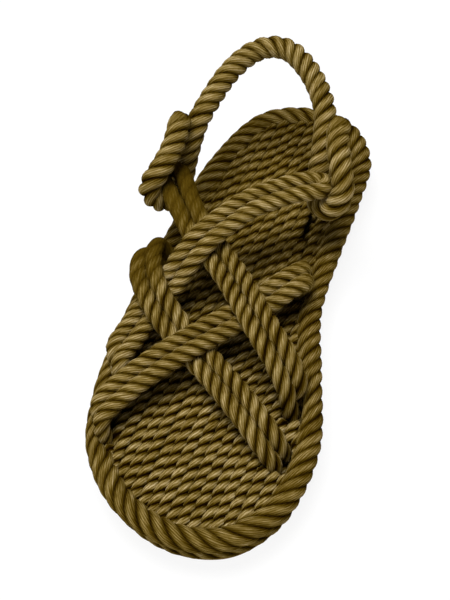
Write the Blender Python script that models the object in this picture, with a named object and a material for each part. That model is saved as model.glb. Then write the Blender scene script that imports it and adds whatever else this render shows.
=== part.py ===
"""Flat rope sandal for a child's right foot.

The sandal is lashed from twisted rope on a thin rubber outsole. Two ropes stacked on each other make the
rim, lengthwise ropes fill the footbed, four doubled ropes cross over the foot as the upper, and one thicker
rope runs behind the heel. Toe at -Y, heel at +Y, the inner (medial) side of the foot at +X, floor at Z = 0.
"""

import math

import bmesh
import bpy
from mathutils import Matrix, Vector

MM = 0.001
ASSEMBLY_NAME = "rope_sandal"

# Clear space between pieces that lie against each other
GAP = 0.3 * MM

# Outsole: a flat rubber sheet with rounded edges and a blank sunk panel under the waist
OUTSOLE_THICKNESS = 2.2 * MM
OUTSOLE_INSET = 4.2 * MM
OUTSOLE_EDGE_ROUND = 0.8 * MM
PANEL_LENGTH = 19.0 * MM
PANEL_WIDTH = 22.0 * MM
PANEL_CORNER = 3.0 * MM
PANEL_DEPTH = 0.6 * MM
PANEL_CENTRE = (-1.0 * MM, 4.0 * MM)

# Rim: two ropes stacked on the outsole. The upper one is pressed flat and stands out past the lower one
UPPER_RIM_WIDTH = 8.0 * MM
UPPER_RIM_HEIGHT = 6.8 * MM
LOWER_RIM_WIDTH = 6.2 * MM
LOWER_RIM_HEIGHT = 6.6 * MM
LOWER_RIM_INSET = 2.0 * MM

# Footbed: lengthwise ropes squeezed side by side
FOOTBED_ROPE_SPACING = 3.45 * MM
FOOTBED_ROPE_COUNT = 20
FOOTBED_MIDDLE = 4.0 * MM
FOOTBED_ROPE_CROWN = 0.9 * MM
FOOTBED_TOP = 14.6 * MM
FOOTBED_CROWN_POWER = 0.7
FOOTBED_ARC_STEPS = 4
FOOTBED_LENGTH = 230.0 * MM
FOOTBED_RIM_CLEARANCE = 0.5 * MM
SLOT_CLEARANCE = 1.0 * MM
SLOT_INWARD = 5.4 * MM
SLOT_OUTWARD = 3.9 * MM
CUTTER_HEIGHT = 60.0 * MM

# Upper: doubled ropes, the two ropes of a pair side by side
STRAP_ROPE_DIAMETER = 5.6 * MM
STRAP_PAIR_SPACING = 5.9 * MM
STRAP_BIGHT_STEPS = 6

# Heel sling: one thicker rope with rounded, sealed ends
SLING_ROPE_DIAMETER = 7.2 * MM
SLING_END_ROUND = 2.2 * MM

# Fullness of the sling's rope past its last full section, as shares of the rounding: reach, full
SLING_END_SHAPE = ((0.5, 0.88), (0.85, 0.6), (1.0, 0.3))

# How finely the curves are followed
OUTLINE_POINTS = 76
STRAP_STEP = 4.2 * MM
SLING_STEP = 4.6 * MM
ROPE_BEVEL_RESOLUTION = 2
EDGE_BEVEL_RESOLUTION = 2
PANEL_CORNER_STEPS = 4
CURVE_SAMPLES = 16
SHARP_ANGLE = 40.0
WELD_DISTANCE = 0.01 * MM

# Rim outline seen from above in millimetres, heel first and then down the medial side. Columns: x, y
RIM_OUTLINE = (
    (-4.5, 100.2),
    (13.6, 96.6),
    (24.3, 82.2),
    (26.4, 62.0),
    (26.9, 38.0),
    (28.4, 12.0),
    (36.6, -13.8),
    (44.3, -40.2),
    (42.3, -64.0),
    (30.4, -80.4),
    (12.0, -85.5),
    (-8.9, -79.0),
    (-25.0, -62.3),
    (-31.7, -41.5),
    (-34.2, -8.0),
    (-33.6, 30.0),
    (-31.2, 65.3),
    (-21.0, 92.5),
)

# Middle line of each doubled strap in millimetres. Columns: x, y, z, side. Side is the heading, in degrees
# from +X, of the line from one rope of the pair to the other. The lowest rows lie in a slot of the sole.
STRAP_TOE_LATERAL = (
    (-22.4, -53.6, 9.9, -66.0),
    (-22.6, -53.4, 14.0, -64.0),
    (-23.6, -51.4, 20.8, -56.0),
    (-18.6, -41.8, 23.8, -39.0),
    (-8.0, -27.3, 26.7, -35.0),
    (2.0, -13.5, 26.3, -35.0),
    (11.8, 1.0, 25.2, -38.0),
    (17.8, 10.4, 25.8, -46.0),
    (20.8, 17.0, 23.2, -62.0),
    (18.0, 19.0, 14.6, -80.0),
    (17.8, 19.0, 9.9, -84.0),
)
STRAP_TOE_MEDIAL = (
    (32.6, -46.2, 9.9, 83.0),
    (32.4, -46.1, 13.0, 80.0),
    (28.4, -44.2, 18.2, 62.0),
    (20.2, -38.2, 20.8, 54.0),
    (4.0, -26.8, 22.4, 54.0),
    (-5.3, -20.6, 22.3, 54.0),
    (-18.5, -10.6, 27.0, 48.0),
    (-25.8, -2.0, 29.2, 46.0),
    (-30.0, 7.0, 28.4, 58.0),
    (-29.8, 11.8, 23.8, 78.0),
    (-26.0, 12.4, 15.0, 88.0),
    (-25.8, 12.4, 9.9, 88.0),
)
STRAP_ANKLE_LATERAL = (
    (30.8, -27.0, 9.9, 104.0),
    (30.8, -27.0, 13.2, 98.0),
    (30.6, -25.3, 20.8, 66.0),
    (25.8, -20.6, 26.8, 46.0),
    (17.6, -13.2, 29.8, 44.0),
    (9.2, -4.6, 30.4, 44.0),
    (0.7, 4.2, 30.2, 44.0),
    (-8.2, 12.0, 30.4, 44.0),
    (-16.3, 18.4, 31.6, 42.0),
    (-23.0, 25.2, 33.8, 42.0),
    (-28.8, 32.2, 34.8, 42.0),
    (-32.2, 36.6, 33.8, 40.0),
)
STRAP_ANKLE_MEDIAL = (
    (-25.2, -33.0, 9.9, -64.0),
    (-25.4, -32.8, 14.0, -62.0),
    (-26.8, -30.0, 21.2, -48.0),
    (-27.4, -21.6, 21.2, -20.0),
    (-24.8, -13.0, 21.9, -17.0),
    (-22.0, -6.0, 23.4, -22.0),
    (-19.0, 0.4, 26.0, -26.0),
    (-15.6, 6.4, 31.8, -28.0),
    (-11.4, 13.6, 36.2, -30.0),
    (-6.6, 20.8, 38.0, -36.0),
    (-1.0, 28.0, 39.6, -42.0),
    (6.0, 33.8, 40.5, -50.0),
    (12.4, 38.3, 40.9, -54.0),
    (16.4, 41.0, 40.2, -55.0),
)

# Each strap's table, and whether it ends in a bight instead of going down into the sole again
STRAPS = (
    (STRAP_TOE_LATERAL, False),
    (STRAP_TOE_MEDIAL, False),
    (STRAP_ANKLE_LATERAL, True),
    (STRAP_ANKLE_MEDIAL, True),
)

# Middle line of the heel sling in millimetres, folded back round each ankle strap's end. Columns: x, y, z
SLING = (
    (-33.2, 49.5, 48.2),
    (-32.4, 42.8, 46.4),
    (-32.6, 37.3, 44.6),
    (-33.8, 31.4, 42.6),
    (-35.8, 27.4, 39.4),
    (-36.6, 26.0, 35.2),
    (-35.0, 26.6, 30.2),
    (-32.4, 30.9, 27.0),
    (-31.6, 37.6, 26.0),
    (-31.6, 43.8, 27.8),
    (-31.1, 47.2, 33.0),
    (-30.3, 50.2, 38.2),
    (-29.4, 54.8, 42.8),
    (-27.6, 63.0, 46.4),
    (-24.2, 75.9, 49.6),
    (-18.9, 84.7, 51.6),
    (-13.3, 87.7, 52.6),
    (-6.1, 87.5, 52.6),
    (0.6, 83.6, 51.6),
    (6.8, 77.6, 49.6),
    (11.6, 68.8, 46.8),
    (14.0, 59.2, 41.4),
    (14.5, 54.4, 36.8),
    (14.7, 48.8, 33.0),
    (16.8, 43.3, 31.2),
    (20.6, 39.3, 31.9),
    (24.6, 38.6, 35.0),
    (26.2, 41.6, 39.6),
    (24.6, 45.7, 43.8),
    (22.0, 51.0, 46.4),
    (20.0, 56.3, 48.2),
    (19.2, 60.9, 49.6),
)

# Colour, roughness and metallic value of each material
ROPE_OLIVE = ((0.19, 0.14, 0.045, 1.0), 0.55, 0.0)
RUBBER_OCHRE = ((0.16, 0.11, 0.035, 1.0), 0.75, 0.0)


def clear_scene():
    """Start from an empty scene."""
    for item in list(bpy.data.objects):
        bpy.data.objects.remove(item, do_unlink=True)


def new_collection(name):
    """A collection linked to the scene."""
    collection = bpy.data.collections.new(name)
    bpy.context.scene.collection.children.link(collection)
    return collection


def make_material(name, look):
    """A Principled material with one colour, roughness and metallic value."""
    colour, roughness, metallic = look
    material = bpy.data.materials.new(name)
    material.use_nodes = True
    shader = material.node_tree.nodes["Principled BSDF"]
    shader.inputs["Base Color"].default_value = colour
    shader.inputs["Roughness"].default_value = roughness
    shader.inputs["Metallic"].default_value = metallic
    material.diffuse_color = colour
    return material


def curve_through(rows, closed=False):
    """Dense points on a centripetal Catmull-Rom curve through a table's rows."""
    knots = [Vector(row) for row in rows]
    count = len(knots)
    points = []
    for index in range(count if closed else count - 1):
        start = knots[index]
        end = knots[(index + 1) % count]
        before = knots[index - 1] if closed or index > 0 else start * 2.0 - end
        after = knots[(index + 2) % count] if closed or index + 2 < count else end * 2.0 - start
        step_in = math.sqrt((start - before).length)
        step = math.sqrt((end - start).length)
        step_out = math.sqrt((after - end).length)
        leave = (start - before) / step_in - (end - before) / (step_in + step) + (end - start) / step
        arrive = (end - start) / step - (after - start) / (step + step_out) + (after - end) / step_out
        for sample in range(CURVE_SAMPLES):
            t = sample / CURVE_SAMPLES
            points.append(
                start * (2 * t**3 - 3 * t**2 + 1)
                + leave * step * (t**3 - 2 * t**2 + t)
                + end * (3 * t**2 - 2 * t**3)
                + arrive * step * (t**3 - t**2)
            )
    if not closed:
        points.append(knots[-1].copy())
    return points


def even_places(points, count, closed=False):
    """Places at equal distances along a chain of points, each as a point's index and a fraction."""
    walk = points + [points[0]] if closed else points
    distances = [0.0]
    for first, second in zip(walk, walk[1:]):
        distances.append(distances[-1] + (second - first).length)
    places = []
    cursor = 0
    for number in range(count):
        target = distances[-1] * number / (count if closed else count - 1)
        while cursor < len(walk) - 2 and distances[cursor + 1] < target:
            cursor += 1
        places.append((cursor, (target - distances[cursor]) / (distances[cursor + 1] - distances[cursor])))
    return places


def at_places(points, places):
    """The points of a chain at the given places."""
    count = len(points)
    return [points[index].lerp(points[(index + 1) % count], part) for index, part in places]


def chain_length(points):
    """Length of a chain of points."""
    return sum((second - first).length for first, second in zip(points, points[1:]))


def outline_at(inset):
    """The rim outline moved inward, as evenly spaced points in the floor plane."""
    dense = curve_through([(x * MM, y * MM) for x, y in RIM_OUTLINE], closed=True)
    even = at_places(dense, even_places(dense, OUTLINE_POINTS, closed=True))
    moved = []
    for index, point in enumerate(even):
        along = even[(index + 1) % OUTLINE_POINTS] - even[index - 1]
        inward = Vector((along.y, -along.x)).normalized()
        moved.append(Vector((point.x + inward.x * inset, point.y + inward.y * inset, 0.0)))
    return moved


def strap_middle(table):
    """Even points on a strap's middle line, with the direction from one rope of the pair to the other."""
    dense = curve_through([(x * MM, y * MM, z * MM) for x, y, z, side in table])
    row_headings = [side for x, y, z, side in table]
    headings = []
    for start, end in zip(row_headings, row_headings[1:]):
        for sample in range(CURVE_SAMPLES):
            t = sample / CURVE_SAMPLES
            headings.append(start + (end - start) * (3 * t**2 - 2 * t**3))
    headings.append(row_headings[-1])
    turns = [math.radians(heading) for heading in headings]
    sides = [Vector((math.cos(turn), math.sin(turn), 0.0)) for turn in turns]
    places = even_places(dense, round(chain_length(dense) / STRAP_STEP) + 1)
    return at_places(dense, places), [side.normalized() for side in at_places(sides, places)]


def strap_legs(table):
    """The two ropes of a strap that is fixed in the sole at both ends."""
    middle, sides = strap_middle(table)
    half = STRAP_PAIR_SPACING / 2.0
    return [[point + side * half * hand for point, side in zip(middle, sides)] for hand in (1.0, -1.0)]


def strap_hairpin(table):
    """One rope that runs out from the sole, turns round at a bight and runs back beside itself."""
    middle, sides = strap_middle(table)
    half = STRAP_PAIR_SPACING / 2.0
    out = [point + side * half for point, side in zip(middle, sides)]
    back = [point - side * half for point, side in zip(middle, sides)]
    ahead = (middle[-1] - middle[-2]).normalized()
    turn = []
    for step in range(1, STRAP_BIGHT_STEPS):
        angle = math.pi * step / STRAP_BIGHT_STEPS
        turn.append(middle[-1] + (sides[-1] * math.cos(angle) + ahead * math.sin(angle)) * half)
    return out + turn + back[::-1]


def sling_path():
    """The sling's points from end to end, with how full the rope is at each: both ends are rounded."""
    dense = curve_through([(x * MM, y * MM, z * MM) for x, y, z in SLING])
    even = at_places(dense, even_places(dense, round(chain_length(dense) / SLING_STEP) + 1))
    points = even[:]
    fullness = [1.0] * len(even)
    out_at_start = (even[0] - even[1]).normalized()
    out_at_end = (even[-1] - even[-2]).normalized()
    for reach, full in SLING_END_SHAPE:
        points.insert(0, even[0] + out_at_start * SLING_END_ROUND * reach)
        points.append(even[-1] + out_at_end * SLING_END_ROUND * reach)
        fullness.insert(0, full)
        fullness.append(full)
    return points, fullness


def mesh_from_curve(curve_object):
    """Replace a curve object by a closed mesh object with the same name."""
    name = curve_object.name
    graph = bpy.context.evaluated_depsgraph_get()
    mesh = bpy.data.meshes.new_from_object(curve_object.evaluated_get(graph))
    shape = bmesh.new()
    shape.from_mesh(mesh)
    bmesh.ops.remove_doubles(shape, verts=shape.verts, dist=WELD_DISTANCE)
    bmesh.ops.recalc_face_normals(shape, faces=shape.faces)
    shape.to_mesh(mesh)
    shape.free()
    collection = curve_object.users_collection[0]
    placed = curve_object.matrix_world.copy()
    bpy.data.objects.remove(curve_object, do_unlink=True)
    made = bpy.data.objects.new(name, mesh)
    mesh.name = name
    made.matrix_world = placed
    collection.objects.link(made)
    return made


def rope(name, collection, points, diameter, closed=False, fullness=None):
    """A round rope along a chain of points."""
    curve = bpy.data.curves.new(name, "CURVE")
    curve.dimensions = "3D"
    curve.twist_mode = "Z_UP" if closed else "MINIMUM"
    curve.bevel_depth = diameter / 2.0
    curve.bevel_resolution = ROPE_BEVEL_RESOLUTION
    curve.use_fill_caps = True
    spline = curve.splines.new("POLY")
    spline.points.add(len(points) - 1)
    spline.use_cyclic_u = closed
    for index, point in enumerate(points):
        spline.points[index].co = (*point, 1.0)
        spline.points[index].radius = fullness[index] if fullness else 1.0
    placed = bpy.data.objects.new(name, curve)
    collection.objects.link(placed)
    bpy.context.view_layer.update()
    return mesh_from_curve(placed)


def plate(name, collection, points, thickness, edge_round=0.0):
    """A flat plate with the given outline, its middle plane at Z = 0."""
    curve = bpy.data.curves.new(name, "CURVE")
    curve.dimensions = "2D"
    curve.fill_mode = "BOTH"
    curve.extrude = thickness / 2.0 - edge_round
    curve.bevel_depth = edge_round
    curve.bevel_resolution = EDGE_BEVEL_RESOLUTION
    curve.offset = -edge_round
    spline = curve.splines.new("POLY")
    spline.points.add(len(points) - 1)
    spline.use_cyclic_u = True
    for index, point in enumerate(points):
        spline.points[index].co = (point[0], point[1], 0.0, 1.0)
    placed = bpy.data.objects.new(name, curve)
    collection.objects.link(placed)
    bpy.context.view_layer.update()
    return mesh_from_curve(placed)


def as_guide(item):
    """Mark an object that only cuts or joins."""
    item.hide_render = True
    item.display_type = "WIRE"


def cut(item, name, operation, operand):
    """A Boolean with one object or with every object of a collection."""
    boolean = item.modifiers.new(name, "BOOLEAN")
    boolean.solver = "EXACT"
    boolean.operation = operation
    if isinstance(operand, bpy.types.Collection):
        boolean.operand_type = "COLLECTION"
        boolean.collection = operand
    else:
        boolean.object = operand


def finish_part(item, material):
    """Give a part its material and smooth shading."""
    item.data.materials.clear()
    item.data.materials.append(material)
    item.data.shade_smooth()
    item.data.set_sharp_from_angle(angle=math.radians(SHARP_ANGLE))


def rounded_rectangle(centre, width, length, corner):
    """Corner points of a rectangle with rounded corners."""
    points = []
    for quarter, (hand_x, hand_y) in enumerate(((1, 1), (-1, 1), (-1, -1), (1, -1))):
        for step in range(PANEL_CORNER_STEPS + 1):
            angle = math.pi / 2.0 * (quarter + step / PANEL_CORNER_STEPS)
            x = centre[0] + hand_x * (width / 2.0 - corner) + corner * math.cos(angle)
            y = centre[1] + hand_y * (length / 2.0 - corner) + corner * math.sin(angle)
            points.append((x, y))
    return points


def make_outsole(parts, guides, material):
    """The rubber sheet, with a blank panel sunk into its underside."""
    outsole = plate("outsole", parts, outline_at(OUTSOLE_INSET), OUTSOLE_THICKNESS, OUTSOLE_EDGE_ROUND)
    outsole.location.z = OUTSOLE_THICKNESS / 2.0
    panel_outline = rounded_rectangle(PANEL_CENTRE, PANEL_WIDTH, PANEL_LENGTH, PANEL_CORNER)
    panel = plate("outsole_panel_cutter", guides, panel_outline, PANEL_DEPTH * 2.0)
    as_guide(panel)
    cut(outsole, "blank panel", "DIFFERENCE", panel)
    finish_part(outsole, material)


def make_rim_rope(name, parts, inset, width, height, middle, material):
    """One rope of the rim, round the whole outline."""
    ring = rope(name, parts, outline_at(inset + width / 2.0), width, closed=True)
    ring.data.transform(Matrix.Diagonal((1.0, 1.0, height / width, 1.0)))
    ring.location.z = middle
    finish_part(ring, material)
    return ring


def footbed_profile():
    """Cross section of the footbed ropes, from side to side: a flat base and one crown for each rope."""
    width = FOOTBED_ROPE_COUNT * FOOTBED_ROPE_SPACING
    left = FOOTBED_MIDDLE - width / 2.0
    base = OUTSOLE_THICKNESS + GAP
    groove = FOOTBED_TOP - FOOTBED_ROPE_CROWN
    points = [(left, base), (left + width, base)]
    steps = FOOTBED_ROPE_COUNT * FOOTBED_ARC_STEPS
    for step in range(steps, -1, -1):
        across = step / FOOTBED_ARC_STEPS
        rise = abs(math.sin(math.pi * across)) ** FOOTBED_CROWN_POWER
        points.append((left + across * FOOTBED_ROPE_SPACING, groove + FOOTBED_ROPE_CROWN * rise))
    return points


def make_footbed(parts, guides, slots, material):
    """Lengthwise ropes trimmed to the space inside the rim, with a slot at each strap end."""
    footbed = plate("footbed_ropes", parts, footbed_profile(), FOOTBED_LENGTH)
    footbed.rotation_euler.x = math.pi / 2.0
    outline = outline_at(UPPER_RIM_WIDTH + FOOTBED_RIM_CLEARANCE)
    inside = plate("footbed_outline", guides, outline, CUTTER_HEIGHT)
    as_guide(inside)
    cut(footbed, "outline", "INTERSECT", inside)
    cut(footbed, "strap slots", "DIFFERENCE", slots)
    finish_part(footbed, material)


def slot_outline(row):
    """Corners of the slot beside the rim that takes both ropes of a strap's end."""
    x, y, z, side = row
    along = Vector((math.cos(math.radians(side)), math.sin(math.radians(side))))
    outward = Vector((-along.y, along.x))
    if outward.x * (x * MM - FOOTBED_MIDDLE) < 0.0:
        outward.negate()
    half = (STRAP_PAIR_SPACING + STRAP_ROPE_DIAMETER) / 2.0 + SLOT_CLEARANCE
    corners = ((-half, -SLOT_INWARD), (half, -SLOT_INWARD), (half, SLOT_OUTWARD), (-half, SLOT_OUTWARD))
    return [Vector((x * MM, y * MM)) + along * a + outward * b for a, b in corners]


def make_slot_cutters(slots, floor):
    """A cutter for each strap end that goes down into the sole, open upward from the slot's floor."""
    for index, (table, has_bight) in enumerate(STRAPS):
        ends = (table[0],) if has_bight else (table[0], table[-1])
        for number, row in enumerate(ends):
            slot = plate(f"slot_cutter_{index}_{number}", slots, slot_outline(row), CUTTER_HEIGHT)
            slot.location.z = floor + CUTTER_HEIGHT / 2.0
            as_guide(slot)


def make_upper(parts, strap_ropes, ropes, material):
    """The straps joined into one body where they cross."""
    upper = rope("upper_straps", parts, ropes[0], STRAP_ROPE_DIAMETER)
    for index, points in enumerate(ropes[1:], start=2):
        as_guide(rope(f"strap_rope_{index}", strap_ropes, points, STRAP_ROPE_DIAMETER))
    cut(upper, "crossings", "UNION", strap_ropes)
    finish_part(upper, material)


def make_sling(parts, material):
    """The rope behind the heel."""
    points, fullness = sling_path()
    sling = rope("heel_sling", parts, points, SLING_ROPE_DIAMETER, fullness=fullness)
    finish_part(sling, material)


def stand_on_origin(parts, guides):
    """Move the whole sandal so that the origin is under the middle of its box."""
    graph = bpy.context.evaluated_depsgraph_get()
    corners = []
    for item in parts.objects:
        solid = item.evaluated_get(graph)
        corners += [solid.matrix_world @ vertex.co for vertex in solid.data.vertices]
    middle_x = (min(c.x for c in corners) + max(c.x for c in corners)) / 2.0
    middle_y = (min(c.y for c in corners) + max(c.y for c in corners)) / 2.0
    anchor = bpy.data.objects.new("sandal_origin", None)
    bpy.context.scene.collection.objects.link(anchor)
    for collection in [parts] + guides:
        for item in collection.objects:
            item.parent = anchor
    anchor.location = (-middle_x, -middle_y, 0.0)
    bpy.context.view_layer.update()


def main():
    clear_scene()
    parts = new_collection(ASSEMBLY_NAME)
    guides = new_collection("cutters")
    slots = new_collection("slot_cutters")
    strap_ropes = new_collection("strap_ropes")
    olive = make_material("olive_rope", ROPE_OLIVE)
    ochre = make_material("ochre_rubber", RUBBER_OCHRE)

    ropes = []
    for table, has_bight in STRAPS:
        ropes += [strap_hairpin(table)] if has_bight else strap_legs(table)

    make_outsole(parts, guides, ochre)
    lower_middle = OUTSOLE_THICKNESS + GAP + LOWER_RIM_HEIGHT / 2.0
    upper_middle = lower_middle + LOWER_RIM_HEIGHT / 2.0 + GAP + UPPER_RIM_HEIGHT / 2.0
    make_slot_cutters(slots, upper_middle - (UPPER_RIM_HEIGHT + GAP) / 2.0)
    make_rim_rope(
        "rim_rope_lower", parts, LOWER_RIM_INSET, LOWER_RIM_WIDTH, LOWER_RIM_HEIGHT, lower_middle, olive
    )
    upper_rim = make_rim_rope(
        "rim_rope_upper", parts, 0.0, UPPER_RIM_WIDTH, UPPER_RIM_HEIGHT, upper_middle, olive
    )
    cut(upper_rim, "strap slots", "DIFFERENCE", slots)
    make_footbed(parts, guides, slots, olive)
    make_upper(parts, strap_ropes, ropes, olive)
    make_sling(parts, olive)
    bpy.context.view_layer.update()
    stand_on_origin(parts, [guides, slots, strap_ropes])


main()
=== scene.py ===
"""Looks of the flat rope sandal: twisted ropes on a rubber outsole, with floor, light and camera.

Places and sizes are in millimetres in the sandal's own layout (toe at -Y, medial side at +X, floor at Z = 0)
until a mesh is made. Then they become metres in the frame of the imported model.
"""

import math

import bmesh
import bpy
import numpy as np
from mathutils import Matrix, Vector


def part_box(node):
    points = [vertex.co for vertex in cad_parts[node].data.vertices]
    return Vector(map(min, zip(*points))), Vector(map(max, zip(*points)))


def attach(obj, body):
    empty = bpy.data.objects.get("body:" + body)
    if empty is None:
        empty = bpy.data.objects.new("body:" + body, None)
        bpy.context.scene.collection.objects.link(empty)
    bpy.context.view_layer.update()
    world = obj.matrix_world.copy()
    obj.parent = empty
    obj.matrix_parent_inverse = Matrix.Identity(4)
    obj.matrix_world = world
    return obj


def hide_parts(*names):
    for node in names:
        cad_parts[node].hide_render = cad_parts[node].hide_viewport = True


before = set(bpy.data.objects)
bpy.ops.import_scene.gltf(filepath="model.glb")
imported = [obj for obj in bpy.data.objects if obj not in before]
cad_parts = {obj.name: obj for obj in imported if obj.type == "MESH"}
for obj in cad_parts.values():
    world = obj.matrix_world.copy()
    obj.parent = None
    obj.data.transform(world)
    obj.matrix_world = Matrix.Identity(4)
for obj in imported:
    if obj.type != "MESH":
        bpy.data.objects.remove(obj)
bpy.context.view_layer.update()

MM = 0.001
BODY = "root"
rng = np.random.default_rng(27)

# Camera: the place that the photograph was taken from. Pixels are those of a 450 by 600 image. The aim point
# shows at the aim pixel of the photograph, at a depth in millimetres
IMAGE_SIZE = (450, 600)
FOCAL_PIXELS = 1020.0
SENSOR_SIZE = 36.0
CAMERA_AZIMUTH = 17.0
CAMERA_ELEVATION = 49.0
AIM_POINT = (0.0, 0.0, 12.0)
AIM_PIXEL = (143.0, 362.0)
AIM_DEPTH = 503.0

# The pixel of the photograph that the picture is centred on, and how much larger the sandal is than there
FRAME_PIXEL = (140.0, 348.0)
FRAME_SCALE = 1.5

# Nearest distance that the camera sees, in metres
NEAREST_SEEN = 0.01

# Rim outline seen from above, heel first and then down the medial side. Columns: x, y
RIM_OUTLINE = (
    (-4.5, 100.2),
    (13.6, 96.6),
    (24.3, 82.2),
    (26.4, 62.0),
    (26.9, 38.0),
    (28.4, 12.0),
    (36.6, -13.8),
    (44.3, -40.2),
    (42.3, -64.0),
    (30.4, -80.4),
    (12.0, -85.5),
    (-8.9, -79.0),
    (-25.0, -62.3),
    (-31.7, -41.5),
    (-34.2, -8.0),
    (-33.6, 30.0),
    (-31.2, 65.3),
    (-21.0, 92.5),
)

# Middle line of each doubled strap. Columns: x, y, z, side, relief. Side is the heading, in degrees from +X,
# of the line from one rope of the pair to the other. Relief is how deep the twist stands out.
STRAP_TOE_LATERAL = (
    (-22.4, -53.6, 9.9, -66.0, 1.0),
    (-22.6, -53.4, 14.0, -64.0, 1.0),
    (-23.6, -51.4, 20.8, -56.0, 1.0),
    (-18.6, -41.8, 23.8, -39.0, 1.0),
    (-8.0, -27.3, 26.7, -35.0, 1.0),
    (2.0, -13.5, 26.3, -35.0, 1.0),
    (11.8, 1.0, 25.2, -38.0, 1.0),
    (17.8, 10.4, 25.8, -46.0, 1.0),
    (20.8, 17.0, 23.2, -62.0, 0.7),
    (18.0, 19.0, 14.6, -80.0, 0.5),
    (17.8, 19.0, 9.9, -84.0, 1.0),
)
STRAP_TOE_MEDIAL = (
    (32.6, -46.2, 9.9, 83.0, 1.0),
    (32.4, -46.1, 13.0, 80.0, 1.0),
    (28.4, -44.2, 18.2, 62.0, 1.0),
    (20.2, -38.2, 20.8, 54.0, 1.0),
    (4.0, -26.8, 22.4, 54.0, 1.0),
    (-5.3, -20.6, 22.3, 54.0, 1.0),
    (-19.5, -10.6, 27.0, 48.0, 1.0),
    (-27.0, -2.0, 29.2, 46.0, 0.45),
    (-30.0, 7.0, 28.4, 58.0, 0.15),
    (-29.8, 11.8, 23.8, 78.0, 0.15),
    (-26.0, 12.4, 15.0, 88.0, 0.5),
    (-25.8, 12.4, 9.9, 88.0, 1.0),
)
STRAP_ANKLE_LATERAL = (
    (30.8, -27.0, 9.9, 104.0, 1.0),
    (30.8, -27.0, 13.2, 98.0, 1.0),
    (30.6, -25.3, 20.8, 66.0, 1.0),
    (25.8, -20.6, 26.8, 46.0, 1.0),
    (17.6, -13.2, 29.8, 44.0, 1.0),
    (9.2, -4.6, 30.4, 44.0, 1.0),
    (0.7, 4.2, 30.2, 44.0, 1.0),
    (-8.2, 12.0, 30.4, 44.0, 1.0),
    (-16.3, 18.4, 31.6, 42.0, 0.7),
    (-23.0, 25.2, 33.8, 42.0, 0.25),
    (-28.8, 32.2, 34.8, 42.0, 0.15),
    (-32.2, 36.6, 33.8, 40.0, 0.15),
)
STRAP_ANKLE_MEDIAL = (
    (-25.2, -33.0, 9.9, -64.0, 1.0),
    (-25.4, -32.8, 14.0, -62.0, 1.0),
    (-26.8, -30.0, 21.2, -48.0, 1.0),
    (-25.8, -21.6, 21.2, -26.0, 1.0),
    (-24.2, -13.0, 21.9, -20.0, 1.0),
    (-22.0, -6.0, 23.4, -22.0, 1.0),
    (-19.0, 0.4, 26.0, -26.0, 1.0),
    (-15.6, 6.4, 31.8, -28.0, 1.0),
    (-11.4, 13.6, 36.2, -30.0, 1.0),
    (-6.6, 20.8, 38.0, -36.0, 1.0),
    (-1.0, 28.0, 39.6, -42.0, 1.0),
    (6.0, 33.8, 40.5, -50.0, 1.0),
    (12.4, 38.3, 40.9, -54.0, 1.0),
    (16.4, 41.0, 40.2, -55.0, 0.9),
)

# Columns: a strap's table, how far its pair of ropes opens at the bight, and its rope's lead.
# Without an opening there is no bight, and the strap goes down into the sole again
STRAPS = (
    (STRAP_TOE_LATERAL, None, 12.8),
    (STRAP_TOE_MEDIAL, None, 14.2),
    (STRAP_ANKLE_LATERAL, 1.4, 15.0),
    (STRAP_ANKLE_MEDIAL, 0.2, 12.4),
)

# The two ropes of a strap: their spacing, and the points, reach and length of the turn at a bight
PAIR_SPACING = 5.5
BIGHT_STEPS = 12
BIGHT_REACH = 1.4
BIGHT_LENGTH = 16.0

# Middle line of the heel sling, folded back round the end of each ankle strap. Columns: x, y, z
SLING = (
    (-33.2, 49.5, 48.2),
    (-32.4, 42.8, 46.4),
    (-32.6, 37.3, 44.6),
    (-33.8, 31.4, 42.6),
    (-35.8, 27.4, 39.4),
    (-36.2, 26.6, 36.2),
    (-34.2, 27.6, 31.6),
    (-31.8, 31.7, 28.2),
    (-31.6, 37.6, 26.0),
    (-31.6, 43.8, 27.8),
    (-31.1, 47.2, 33.0),
    (-30.3, 50.2, 38.2),
    (-29.4, 54.8, 42.8),
    (-27.6, 63.0, 46.4),
    (-24.2, 75.9, 49.6),
    (-18.9, 84.7, 51.6),
    (-13.3, 87.7, 52.6),
    (-7.0, 87.5, 52.6),
    (-0.5, 83.6, 51.6),
    (5.8, 77.6, 49.6),
    (11.6, 68.8, 46.8),
    (14.0, 59.2, 41.4),
    (14.5, 54.4, 36.8),
    (14.7, 48.8, 33.0),
    (16.8, 43.3, 31.2),
    (20.6, 39.3, 31.9),
    (24.6, 38.6, 35.0),
    (26.2, 41.6, 39.6),
    (24.6, 45.7, 43.8),
    (22.0, 51.0, 46.4),
    (20.0, 56.3, 48.2),
    (19.2, 60.9, 49.6),
)

# The sling's ends, which are melted: how far they round over and in how many steps, how far they close, how
# far back the twist fades, and how much of it is left at the end
SLING_END_ROUND = 2.2
SLING_END_STEPS = 7
SLING_END_CLOSE = 0.96
SLING_END_FADE = 5.0
SLING_END_RELIEF = 0.25

# Kinds of rope. Lead is one full turn of a strand, share is a strand's radius over the rope's width, and
# spread is how far strands are squeezed wide. Step is the spacing of rings along a rope, and sides is the
# number of points round a strand
ROPE_COLUMNS = ("width", "height", "strands", "lead", "share", "spread", "step", "sides")


def rope_kind(*measures):
    """The measures of one kind of rope by name, from a row in the order of the columns."""
    return dict(zip(ROPE_COLUMNS, measures))


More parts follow.
